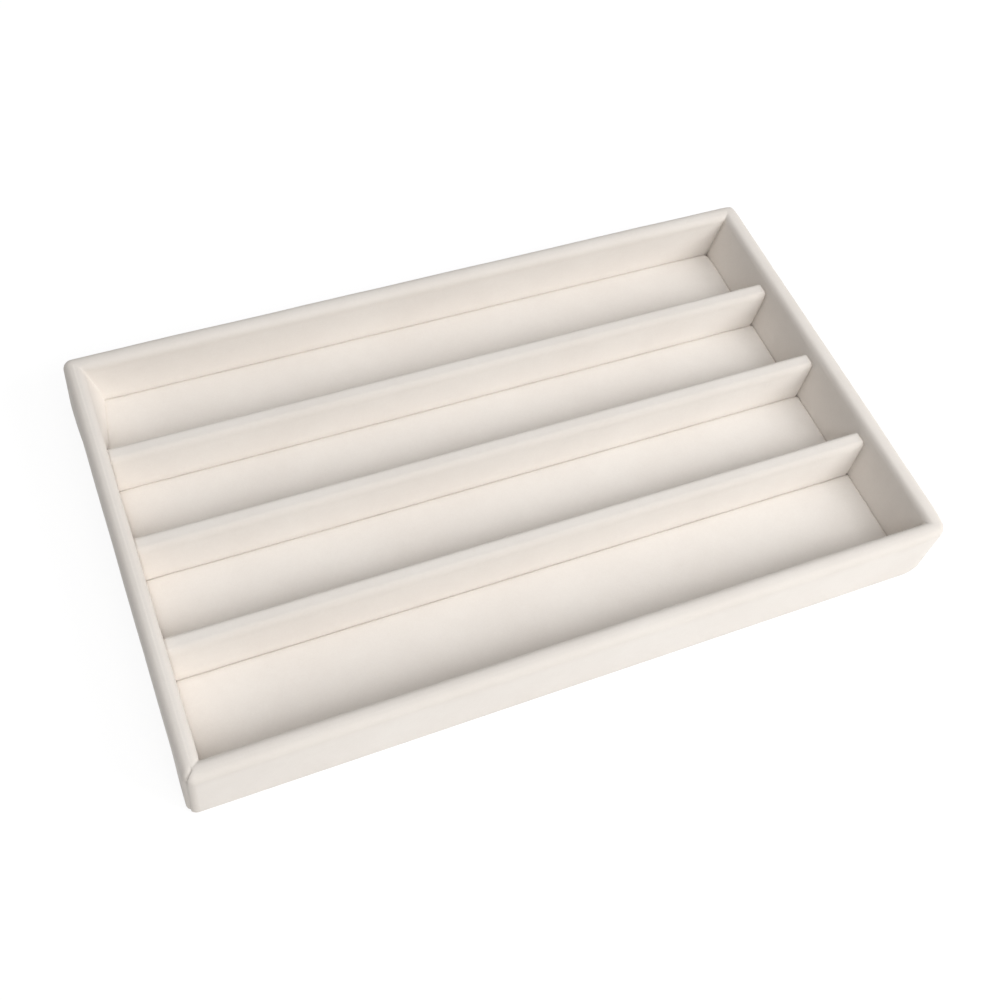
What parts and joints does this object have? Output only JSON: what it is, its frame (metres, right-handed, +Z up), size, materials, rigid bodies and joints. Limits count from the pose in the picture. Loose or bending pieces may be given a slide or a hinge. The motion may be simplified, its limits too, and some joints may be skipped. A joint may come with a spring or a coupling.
{
  "type": "jewelry tray",
  "caption": "Shallow rectangular tray covered in cream velvet, with padded fixed dividers that part it into long lanes.",
  "frame": {"origin": "centre of the underside, on the surface the tray stands on", "axes": "+X along the lanes to the end with the thicker lining, +Y from the front wall (beside the widest lane) to the back wall, +Z up out of the tray"},
  "size_m": [0.352, 0.215, 0.0325],
  "materials": {
    "velvet": "matt short-pile velvet, cream",
    "board": "raw fibreboard",
    "foam": "soft open-cell foam",
    "card": "grey card, uncoated",
    "felt": "matt thin felt sheet"
  },
  "bodies": {
    "root": {"base_board": "board", "wall_velvet": "velvet", "underside_sheet": "felt", "front_wall_board": "board", "front_wall_padding": "foam", "back_wall_board": "board", "back_wall_padding": "foam", "left_end_board": "board", "left_end_padding": "foam", "right_end_board": "board", "right_end_padding": "foam", "front_divider_board": "board", "front_divider_padding": "foam", "front_divider_velvet": "velvet", "middle_divider_board": "board", "middle_divider_padding": "foam", "middle_divider_velvet": "velvet", "rear_divider_board": "board", "rear_divider_padding": "foam", "rear_divider_velvet": "velvet", "front_lane_card": "card", "front_lane_foam": "foam", "front_lane_velvet": "velvet", "second_lane_card": "card", "second_lane_foam": "foam", "second_lane_velvet": "velvet", "third_lane_card": "card", "third_lane_foam": "foam", "third_lane_velvet": "velvet", "rear_lane_card": "card", "rear_lane_foam": "foam", "rear_lane_velvet": "velvet"}
  },
  "joints": []
}
